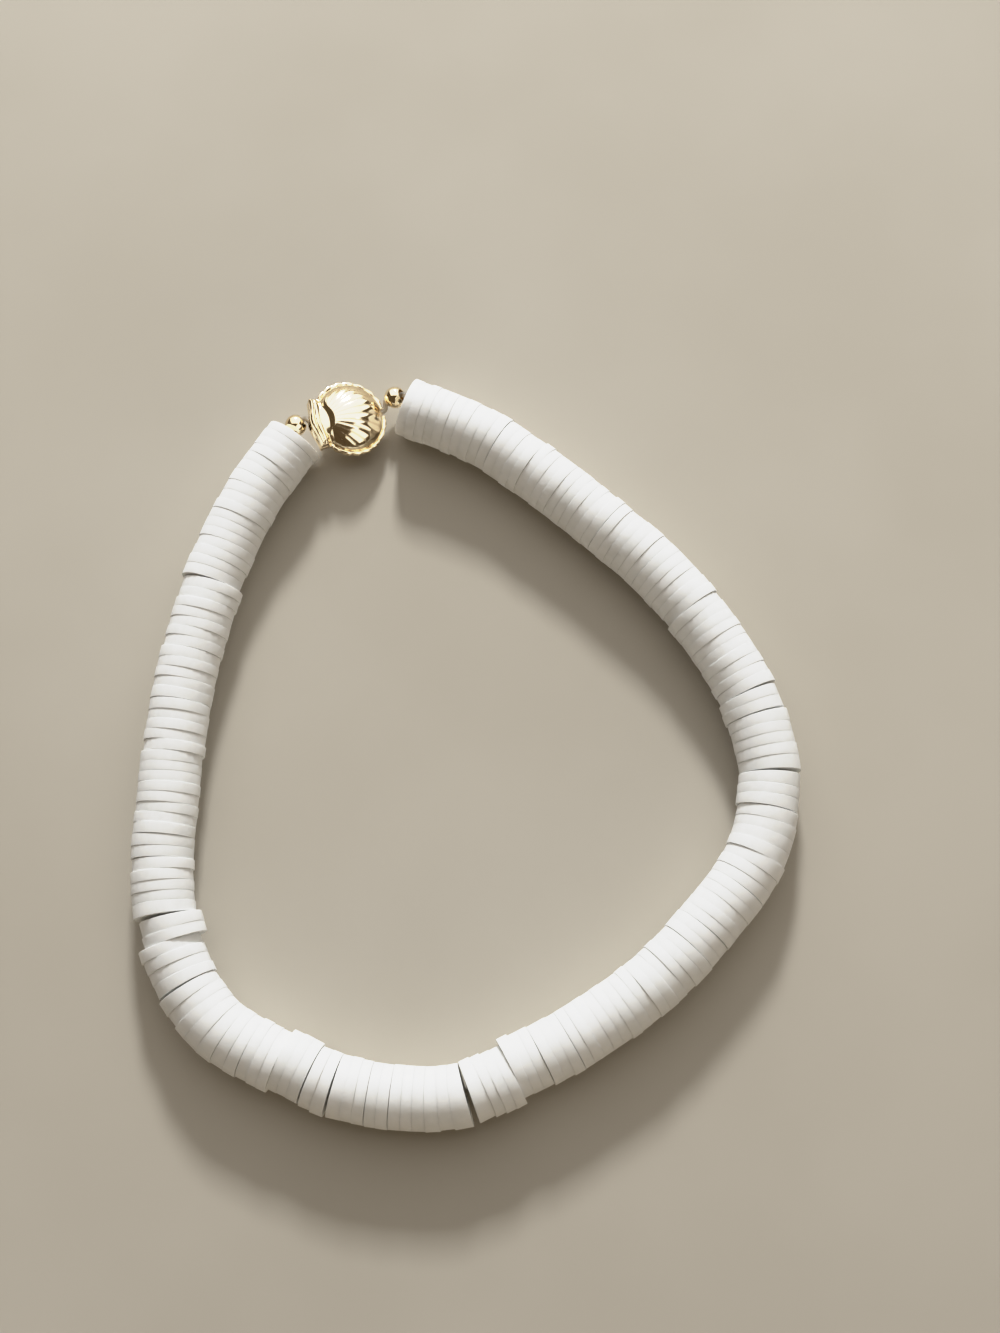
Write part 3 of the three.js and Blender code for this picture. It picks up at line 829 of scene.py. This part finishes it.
FAN_ANGLES = np.linspace(-FAN, FAN, SHELL["ribs"] * PER_RIB, endpoint=False)
BACK_ANGLES = np.linspace(FAN, 2 * math.pi - FAN, BACK_COLUMNS, endpoint=False)
SHELL_ANGLES = np.concatenate([FAN_ANGLES, BACK_ANGLES])
ANGLE = (SHELL_ANGLES + math.pi) % (2 * math.pi) - math.pi
OUTLINE = soft_max(body_reach(ANGLE), ear_reach(ANGLE), OUTLINE_FILLET)
print(len(ANGLE), "columns round the shell, reach", round(OUTLINE.min(), 2), "to",
      round(OUTLINE.max(), 2), "mm")

# %% [markdown]
# ## The scallop shell bead: its relief
#
# Over that outline stands the relief. The body is a full dome that drops to a narrow lip with a
# rolled bead along it, and its ribs grow from nothing at the smooth top towards the rim. The
# hinge is a pillow-shaped plate with one groove along it and a few fine folds over each ear. The
# higher of the two shows, with a fillet where they meet, and a soft valley runs between them.

# %% Relief of the shell
RIBS = {"height": 0.045, "from": 1.6, "over": 2.8}
LIP = {"width": 0.4, "bead": 0.06, "at": 0.2, "half": 0.13}
DOME_POWER = 0.6
BEAK_LOW = {"share": 0.6, "over": 1.5, "power": 0.8}
PLATE = {"thin_power": 1.5, "crown": 0.12, "crown_half": 1.1, "folds_over": 1.2}
PILLOW = {"edge": 0.4, "width": 0.5}
GROOVE = {"at": 0.42, "half": 0.09, "depth": 0.12}
VALLEY = {"at": 1.05, "bulge": 0.35, "spread": 1.3, "half": 0.22, "depth": 0.14}
FOLD = {"height": 0.03, "per_radian": 9.0}
MEETING_FILLET = 0.3
SINK = 3.0


def body_height(x, y, angle):
    """lip + bead + dome * (1 - q^2)^power, q being the distance from the body's middle over the
    dome's own radius; lower towards the beak; and the ribs on top, growing with the distance
    from the beak."""
    out = np.hypot(x, y)
    q = out / (SHELL["radius"] - LIP["width"])
    dome = SHELL["dome"] * np.maximum(1 - q**2, 0) ** DOME_POWER
    from_beak = np.hypot(x - BEAK, y)
    rise = np.clip(from_beak / BEAK_LOW["over"], 0, 1) ** BEAK_LOW["power"]
    dome = dome * (BEAK_LOW["share"] + (1 - BEAK_LOW["share"]) * rise)
    bead = LIP["bead"] * bell(SHELL["radius"] - out - LIP["at"], LIP["half"])
    grown = np.clip((from_beak - RIBS["from"]) / RIBS["over"], 0, 1)
    ribs = RIBS["height"] / 2 * (rib_wave(angle) - 1) * grown
    return SHELL["lip"] + bead + dome + ribs * np.where(np.abs(angle) < FAN, 1, 0)


def straight_back(x, y):
    """Where a point would lie along the hinge if the back edge were straight: the distance to
    the front of the plate, times root / (root + bow)."""
    front = EAR["root"] - SHELL["length"] / 2
    return front - (front - x) * EAR["root"] / (EAR["root"] + hinge_bow(y))


def inside_plate(x, y):
    """How far a point lies inside the hinge plate: the least distance to its sides."""
    ways, offs = ear_sides()
    return (offs - np.stack([straight_back(x, y) - BEAK, y], axis=-1) @ ways.T).min(-1)


def hinge_height(x, y, angle):
    """A plate, thicker in the middle and thinner at the front, with a groove along it and folds
    that fan out over the ears. Its edge is rounded over as a quarter of an ellipse."""
    along = straight_back(x, y) + SHELL["length"] / 2
    forward = np.clip(along / EAR["root"], 0, 1) ** PLATE["thin_power"]
    plate = EAR["half"] - (EAR["half"] - EAR["tip"]) * forward
    plate = plate + PLATE["crown"] * bell(y, PLATE["crown_half"])
    outward = np.clip(np.abs(y) / PLATE["folds_over"], 0, 1)
    folds = FOLD["height"] * np.cos(FOLD["per_radian"] * (np.abs(angle) - math.pi / 2)) * outward
    plate = plate + folds - GROOVE["depth"] * bell(along - GROOVE["at"], GROOVE["half"])
    inside = np.clip(inside_plate(x, y) / PILLOW["width"], 0, 1)
    return PILLOW["edge"] + (plate - PILLOW["edge"]) * np.sqrt(1 - (1 - inside) ** 2)


def shell_height(x, y, angle):
    """The higher of body and hinge, less the valley between them. The hinge counts only inside
    its own plate, and the body only inside its own circle; outside, each sinks away steeply."""
    body = body_height(x, y, angle)
    outside = np.hypot(x, y) - SHELL["radius"]
    body = body - SINK * np.maximum(outside, 0)
    hinge = hinge_height(x, y, angle) - SINK * np.maximum(-inside_plate(x, y), 0)
    line = x + SHELL["length"] / 2 - VALLEY["at"] - VALLEY["bulge"] * bell(y, VALLEY["spread"])
    valley = VALLEY["depth"] * bell(line, VALLEY["half"]) * (np.abs(y) < EAR["reach"])
    return soft_max(body, hinge, MEETING_FILLET) - valley


# Rows go from the beak to just inside the outline, and lie closer together towards it.
ROWS = 64
ROW_POWER = 1.35
OUTLINE_INSET = 0.1
ROW_SHARES = 1 - (1 - np.linspace(0, 1, ROWS)[1:, None]) ** ROW_POWER
ROW_REACH = (OUTLINE - OUTLINE_INSET)[None, :] * ROW_SHARES
TOP_X = BEAK + ROW_REACH * np.cos(ANGLE)
TOP_Y = ROW_REACH * np.sin(ANGLE)
TOP_Z = shell_height(TOP_X, TOP_Y, ANGLE[None, :])
print("relief from", round(TOP_Z.min(), 2), "to", round(TOP_Z.max(), 2), "mm above the seam")

# %% [markdown]
# ## The scallop shell bead: closing the skin
#
# The top face ends a tenth of a millimetre inside the outline. From there a quarter circle
# turns down to the edge, the edge goes straight down to a fine seam where the two halves are
# joined, and the underside is the same again in reverse. All of it is one grid from the middle of
# the top to the middle of the underside, closed by a fan of triangles at each end.

# %% Build the shell
QUARTER = np.linspace(0, math.pi / 2, 5)[1:]
SEAM = {"half": 0.035, "depth": 0.045}
STAIN = {"gain": 1.2, "less": 0.25, "over": 2.5}


def edge_rows(top_edge):
    """Rows down the edge as (distance inside the outline, height) for every column."""
    rows = [
        (OUTLINE_INSET * (1 - math.sin(a)), top_edge - OUTLINE_INSET * (1 - math.cos(a)))
        for a in QUARTER
    ]
    rows.append((0.0, np.full_like(top_edge, SEAM["half"])))
    rows.append((SEAM["depth"], np.zeros_like(top_edge)))
    return rows


def shell_points():
    """Top rows, edge rows, then both mirrored below; the first and last point are the middles."""
    directions = np.stack([np.cos(ANGLE), np.sin(ANGLE)])
    tops = np.stack([TOP_X, TOP_Y, TOP_Z], axis=1)
    sides = []
    for inset, height in edge_rows(TOP_Z[-1]):
        x, y = directions * (OUTLINE - inset)
        sides.append(np.stack([BEAK + x, y, height]))
    upper = np.concatenate([tops, sides[:-1]])
    lower = upper[::-1] * np.array([1, 1, -1])[None, :, None]
    rows = np.concatenate([upper, sides[-1:], lower]).transpose(0, 2, 1)
    middle = np.array([[BEAK, 0, TOP_Z[0].mean()]])
    return rows, middle


HEADING = math.radians(SHELL_PLACE["heading"])
PITCH = math.radians(SHELL_PLACE["pitch"])
SHELL_CENTRE = np.array([SHELL_PLACE["x"], SHELL_PLACE["y"], SHELL_PLACE["z"]])
SHELL_FLAT = np.array([math.cos(HEADING), math.sin(HEADING), 0])
SHELL_SIDE = np.array([-math.sin(HEADING), math.cos(HEADING), 0])
SHELL_AXIS = SHELL_FLAT * math.cos(PITCH) - np.array([0, 0, math.sin(PITCH)])
SHELL_UP = np.cross(SHELL_AXIS, SHELL_SIDE)


def turn_and_place(points):
    """Widens the plan, then places it: centre + x * axis + y * side + z * up of the shell."""
    ways = np.stack([SHELL_AXIS, SHELL_SIDE * WIDEN, SHELL_UP])
    return points @ ways + SHELL_CENTRE + SHIFT


def build_shell():
    """One closed skin: a grid closed round the columns, and a fan at each end."""
    rows, middle = shell_points()
    count, columns = rows.shape[:2]
    points = np.concatenate([rows.reshape(-1, 3), middle, middle * [1, 1, -1]])
    faces = grid_faces(count, columns, close_columns=True)
    column = np.arange(columns)
    after = (column + 1) % columns
    top = np.stack([column, after, np.full(columns, count * columns)], axis=1)
    last = (count - 1) * columns
    bottom = np.stack([last + after, last + column, np.full(columns, count * columns + 1)], axis=1)
    piece = make_piece("scallop_shell", turn_and_place(points), faces, GOLD_SHELL,
                       fans=np.concatenate([top, bottom]).tolist())
    groove = np.clip(-rib_wave(ANGLE) * STAIN["gain"] - STAIN["less"], 0, 1)
    groove = groove * np.where(np.abs(ANGLE) < FAN, 1, 0)
    depth = np.clip(np.hypot(rows[..., 0] - BEAK, rows[..., 1]) / STAIN["over"], 0, 1)
    add_value(piece, "groove", np.append(depth * groove, [0, 0]))
    return piece


shell = build_shell()
print("shell:", len(shell.data.polygons), "faces")

# %% [markdown]
# ## The thread hole of the shell
#
# The hole runs from the hinge to the rim. It is drilled after stamping, so a cylinder cuts it out
# of the finished skin with a Boolean. The result is kept as a plain mesh, and edges sharper
# than 40 degrees stay crisp while everything else shades smoothly.

# %% Drill the shell
DRILL_SIDES = 48
SHARP_DEGREES = 40


def drill(piece, start, stop, radius_mm):
    """Cuts a round hole from start to stop (millimetres) and keeps the result as the mesh."""
    start, stop = Vector(start) * MM, Vector(stop) * MM
    way = stop - start
    cutter_mesh = bpy.data.meshes.new("drill")
    shaped = bmesh.new()
    bmesh.ops.create_cone(shaped, cap_ends=True, segments=DRILL_SIDES, radius1=radius_mm * MM,
                          radius2=radius_mm * MM, depth=way.length)
    shaped.to_mesh(cutter_mesh)
    shaped.free()
    cutter_mesh.transform(way.to_track_quat("Z", "Y").to_matrix().to_4x4())
    for vertex in cutter_mesh.vertices:
        vertex.co += (start + stop) / 2
    cutter = bpy.data.objects.new("drill", cutter_mesh)
    bpy.context.collection.objects.link(cutter)
    cut = piece.modifiers.new("thread_hole", "BOOLEAN")
    cut.operation = "DIFFERENCE"
    cut.solver = "EXACT"
    cut.object = cutter
    bpy.context.view_layer.update()
    evaluated = piece.evaluated_get(bpy.context.evaluated_depsgraph_get())
    result = bpy.data.meshes.new_from_object(evaluated)
    if len(result.vertices) < len(piece.data.vertices) / 2:
        raise ValueError("the drill took away most of " + piece.name)
    piece.modifiers.clear()
    piece.data = result
    bpy.data.objects.remove(cutter)


drill_ends = [SHELL_CENTRE + SHIFT + SHELL_AXIS * SHELL["length"] * end for end in (-1, 1)]
drill(shell, *drill_ends, SHELL["bore"] / 2)
shell.data.set_sharp_from_angle(angle=math.radians(SHARP_DEGREES))
settle(shell, "gold", "shell_bead")
print("drilled shell:", len(shell.data.polygons), "faces")

# %% [markdown]
# ## The elastic thread
#
# One length of clear elastic goes through everything. It lies in the middle of the discs,
# leaves them near the outer side of their holes, goes straight through each ball, and is hidden
# almost everywhere. It follows the same points as the solid model's cord, on a centripetal
# Catmull-Rom spline, which makes no loops where a short span meets a long one.

# %% The thread's points


def end_of_discs(index, end):
    """The middle of a disc's outer face, moved towards the outside of the loop."""
    face = CENTRES[index] + AXES[index] * end * THICKNESS[index] / 2
    return face + OUTWARD[index] * CORD["aside_disc"]


def end_of_shell(end):
    """One end of the shell's hole, off its middle."""
    along = end * SHELL["length"] / 2
    return SHELL_CENTRE + SHELL_AXIS * along + SHELL_SIDE * CORD["aside_shell"]


def between_stretches():
    """Points on the string's middle line, halfway between one stretch and the next."""
    after = np.array(ENDS[1:-1])
    places = (PLACES[after - 1] + PLACES[after]) / 2
    return np.column_stack([route_at(t_at(places)), np.full(len(places), RADIUS)])


CENTRE_OF = {"left": BALL_LEFT, "right": BALL_RIGHT}
ENDS_AT = {
    "left": (end_of_discs(0, -1), end_of_shell(-1)),
    "right": (end_of_discs(-1, 1), end_of_shell(1)),
}


def ball_axis(side):
    """A ball's hole points halfway between the ways that the thread takes before and after it."""
    disc, shell_end = ENDS_AT[side]
    into = rows_normalized(CENTRE_OF[side] - disc)
    return rows_normalized(into + rows_normalized(shell_end - CENTRE_OF[side]))


BALL_AXES = {side: ball_axis(side) for side in CENTRE_OF}


def through_ball(side, sign):
    """Both mouths of a ball's hole and its middle, in the order that the thread meets them."""
    steps = np.array([-sign, 0, sign])[:, None] * BALL["diameter"] / 2
    return CENTRE_OF[side] + BALL_AXES[side] * steps


THREAD = np.vstack([
    between_stretches(), end_of_discs(-1, 1), through_ball("right", 1), end_of_shell(1),
    end_of_shell(-1), through_ball("left", -1), end_of_discs(0, -1),
])


def thread_curve(points, steps):
    """Centripetal Catmull-Rom, closed: spans are timed by the square root of their length, and
    the slope at a point is the difference quotient over its two neighbouring spans."""
    before, here, there, beyond = (np.roll(points, 1 - k, axis=0) for k in range(4))
    span = [np.linalg.norm(b - a, axis=1)[:, None] ** 0.5
            for a, b in ((before, here), (here, there), (there, beyond))]
    leave = span[1] * ((here - before) / span[0] - (there - before) / (span[0] + span[1])
                       + (there - here) / span[1])
    arrive = span[1] * ((there - here) / span[1] - (beyond - here) / (span[1] + span[2])
                        + (beyond - there) / span[2])
    w = (np.arange(steps) / steps)[None, :, None]
    ends = (a[:, None, :] for a in (here, there, leave, arrive))
    return cubic(*ends, w).reshape(-1, 3)


THREAD_STEPS = 14
THREAD_PATH = thread_curve(THREAD, THREAD_STEPS)
thread_length = np.linalg.norm(np.roll(THREAD_PATH, -1, axis=0) - THREAD_PATH, axis=1).sum()
print("the thread is", round(thread_length, 1), "mm round")

# %% Build the thread
THREAD_COLUMNS = 10
MILKY = ((0.5, 0.43, 0.33, 1), (0.62, 0.55, 0.44, 1))
ELASTIC_ROUGH = {"base": 0.28, "grain": 0.15}


def build_elastic():
    """Clear elastic, slightly milky: light passes through it, more in some places than others."""
    material, tree, shader = new_finish(
        "clear_elastic", roughness=0.35, ior=1.45, transmission_weight=0.8,
    )
    grain = use_group(tree, FINE_GRAIN, {
        "Broad per metre": 1500.0, "Tooth per metre": 8000.0, "Tooth share": 0.3,
    })
    colour = mix_colour(tree, grain["Mask"], *MILKY)
    tree.links.new(colour, shader.inputs["Base Color"])
    rough, grainy = ELASTIC_ROUGH["base"], ELASTIC_ROUGH["grain"]
    rough = math_node(tree, "MULTIPLY_ADD", grain["Mask"], grainy, rough)
    tree.links.new(rough, shader.inputs["Roughness"])
    link_bump(tree, shader, grain["Height"], strength=0.3, depth=0.02)
    return material


def build_thread():
    """A circle carried along the path, square to it, closed both ways."""
    ways = rows_normalized(np.roll(THREAD_PATH, -1, axis=0) - np.roll(THREAD_PATH, 1, axis=0))
    aside = outward_of(ways)
    turn = np.arange(THREAD_COLUMNS) / THREAD_COLUMNS * 2 * math.pi
    circle = ring(turn, aside, np.cross(aside, ways))
    points = (THREAD_PATH + SHIFT)[:, None, :] + CORD["diameter"] / 2 * circle
    faces = grid_faces(len(points), THREAD_COLUMNS, close_rows=True, close_columns=True)
    points = points.reshape(-1, 3)
    faces = facing_out(points, faces)
    piece = make_piece("elastic_thread", points, faces, build_elastic())
    settle(piece, "elastic", "elastic_cord")
    return piece


thread = build_thread()
print("thread:", len(thread.data.polygons), "faces")

# %% [markdown]
# ## The gold balls
#
# A small plated ball has a drilled hole whose mouth is slightly rounded over. Its section is an
# arc from mouth to mouth, a small fillet at each end and the straight wall of the hole, spun
# round the axis. A UV sphere would have to be cut open, while a spun section has its hole from
# the start.

# %% Build the balls
BALL_COLUMNS = 64
ARC_POINTS = 30
FILLET_POINTS = 4
MOUTH_FILLET = 0.07
HOLE_STAIN = 0.8


def ball_section():
    """Distances from and along the axis: the outside arc, then back through the hole with a
    quarter round of the fillet's size at each mouth."""
    r, hole = BALL["diameter"] / 2, BALL["bore"] / 2
    edge_angle = math.asin((hole + MOUTH_FILLET) / r)
    arc = np.linspace(edge_angle, math.pi - edge_angle, ARC_POINTS)
    outside = np.stack([r * np.sin(arc), r * np.cos(arc)])
    mouth = outside[1, 0]
    turn = np.linspace(0, math.pi / 2, FILLET_POINTS + 1)[1:]
    fillet = MOUTH_FILLET * (1 - np.stack([np.sin(turn), np.cos(turn)]))
    drop = np.stack([hole + fillet[0], mouth - fillet[1]])
    lower = drop * np.array([[1], [-1]])
    return np.concatenate([outside, lower, drop[:, ::-1]], axis=1)


def build_ball(side):
    """The section spun round the ball's own axis, closed both ways."""
    out, along = ball_section()
    axis = BALL_AXES[side]
    across = rows_normalized(np.cross(axis, [0, 0, 1]))
    turn = np.arange(BALL_COLUMNS) / BALL_COLUMNS * 2 * math.pi
    circle = ring(turn, across, np.cross(across, axis))
    points = along[:, None, None] * axis + out[:, None, None] * circle
    points = (points + CENTRE_OF[side] + SHIFT).reshape(-1, 3)
    faces = grid_faces(len(out), BALL_COLUMNS, close_rows=True, close_columns=True)
    piece = make_piece(f"gold_ball_{side}", points, facing_out(points, faces), GOLD_BALL)
    in_hole = np.where(np.arange(len(out)) >= ARC_POINTS, HOLE_STAIN, 0.0)
    add_value(piece, "groove", np.repeat(in_hole, BALL_COLUMNS))
    settle(piece, "gold", f"ball_bead_{side}")
    return piece


balls = [build_ball(side) for side in ("left", "right")]
print("balls:", [ball.name for ball in balls])

# %% [markdown]
# ## Floor, light and camera
#
# The bracelet lies on a plain pale floor. A low, small softbox behind it, the key, gives the
# string its lit side and its shadow, and a broad window above the key fills in. Polished gold
# shows only what it mirrors, so two more panels, the gleams, are seen by shiny surfaces alone:
# they brighten the gold and leave the clay as it is. A low warm card at the front lifts the
# shaded side, and no mirror sees it, or a bright bar would cross the shell. The camera looks
# down steeply from the front.

# %% Floor
FLOOR_COLOURS = ((0.44, 0.405, 0.343, 1), (0.467, 0.432, 0.37, 1))
FLOOR_HALF = 2000.0


def build_floor():
    """A plain pale, slightly warm sheet, far wider than the view."""
    material, tree, shader = new_finish("pale_floor", roughness=0.85)
    grain = use_group(tree, FINE_GRAIN, {"Broad per metre": 30.0, "Tooth per metre": 900.0})
    colour = mix_colour(tree, grain["Mask"], *FLOOR_COLOURS)
    tree.links.new(colour, shader.inputs["Base Color"])
    corners = FLOOR_HALF * np.array([(-1, -1, 0), (1, -1, 0), (1, 1, 0), (-1, 1, 0)])
    piece = make_piece("floor", corners, np.array([[0, 1, 2, 3]]), material)
    return piece


floor = build_floor()
print("floor:", round(2 * FLOOR_HALF * MM), "m wide")

# %% Lights
# Columns: name; width and height, metres; azimuth and elevation, degrees; distance, metres;
# power, watts; colour; what it lights.
PANELS = (
    ("key", (0.1, 0.1), 0, 27, 0.8, 7.0, (0.97, 0.99, 1.0), "all"),
    ("north_window", (1.5, 1.35), 0, 46, 0.75, 6.6, (1.0, 0.975, 0.93), "all"),
    ("low_card", (0.8, 0.15), 165, 12, 0.6, 0.75, (1.0, 0.86, 0.66), "matt"),
    ("north_gleam", (1.5, 1.35), 0, 46, 0.76, 3.6, (1.0, 0.985, 0.95), "shiny"),
    ("east_gleam", (0.62, 0.6), 124, 44, 0.7, 1.75, (1.0, 0.95, 0.87), "shiny"),
)
ROOM = {"colour": (1.0, 0.72, 0.42, 1), "strength": 0.09}


def softbox(name, size, azimuth, elevation, distance, power, colour):
    """A panel, wide by high, that faces the middle of the bracelet. azimuth: degrees from +Y
    towards +X."""
    data = bpy.data.lights.new(name, "AREA")
    data.shape = "RECTANGLE"
    data.size, data.size_y = size
    data.energy = power
    data.color = colour
    lamp = bpy.data.objects.new(name, data)
    bpy.context.collection.objects.link(lamp)
    a, e = math.radians(azimuth), math.radians(elevation)
    way = Vector((math.sin(a) * math.cos(e), math.cos(a) * math.cos(e), math.sin(e)))
    lamp.location = way * distance
    lamp.rotation_euler = way.to_track_quat("Z", "Y").to_euler()
    return lamp


for *panel, lights in PANELS:
    lamp = softbox(*panel)
    lamp.visible_glossy = lights != "matt"
    lamp.visible_diffuse = lights != "shiny"

world = bpy.data.worlds.new("studio")
bpy.context.scene.world = world
world.use_nodes = True
room = world.node_tree.nodes["Background"]
room.inputs["Color"].default_value = ROOM["colour"]
room.inputs["Strength"].default_value = ROOM["strength"]

# %% The camera's response
# Columns: light in the scene, light in the picture.
SHOULDER = ((0.3, 0.3), (0.6, 0.6), (0.8, 0.77), (1.0, 0.84), (1.4, 0.89), (2.5, 0.97))
WHITEST = SHOULDER[-1][0]


def soften_whites(settings):
    """A camera's own response: straight up to 0.6, then a shoulder, so that the lit clay stays
    below pure white. The curve's first and last point are set, and the others are added."""
    settings.view_transform = "Standard"
    settings.use_curve_mapping = True
    response = settings.curve_mapping
    response.white_level = (WHITEST,) * 3
    curve = response.curves[3]
    curve.points[0].location = (0.0, 0.0)
    curve.points[1].location = (1.0, SHOULDER[-1][1])
    for light, shown in SHOULDER[:-1]:
        curve.points.new(light / WHITEST, shown)
    response.update()


soften_whites(bpy.context.scene.view_settings)
print("whites go up to", WHITEST, "times the light of plain white")

# %% Camera
# Millimetres in the frame of the layout, and degrees below level.
CAMERA = {"x": 3.0, "y": -32.26, "z": 166.53, "down": 76.5, "lens": 45.91}
camera_data = bpy.data.cameras.new("camera")
camera_data.lens = CAMERA["lens"]
camera_data.clip_start = 0.01
camera_data.clip_end = 10
camera = bpy.data.objects.new("camera", camera_data)
bpy.context.collection.objects.link(camera)
camera.location = (np.array([CAMERA["x"], CAMERA["y"], CAMERA["z"]]) + SHIFT) * MM
camera.rotation_euler = (math.radians(90 - CAMERA["down"]), 0, 0)
bpy.context.scene.camera = camera
print("camera at", [round(v, 4) for v in camera.location])
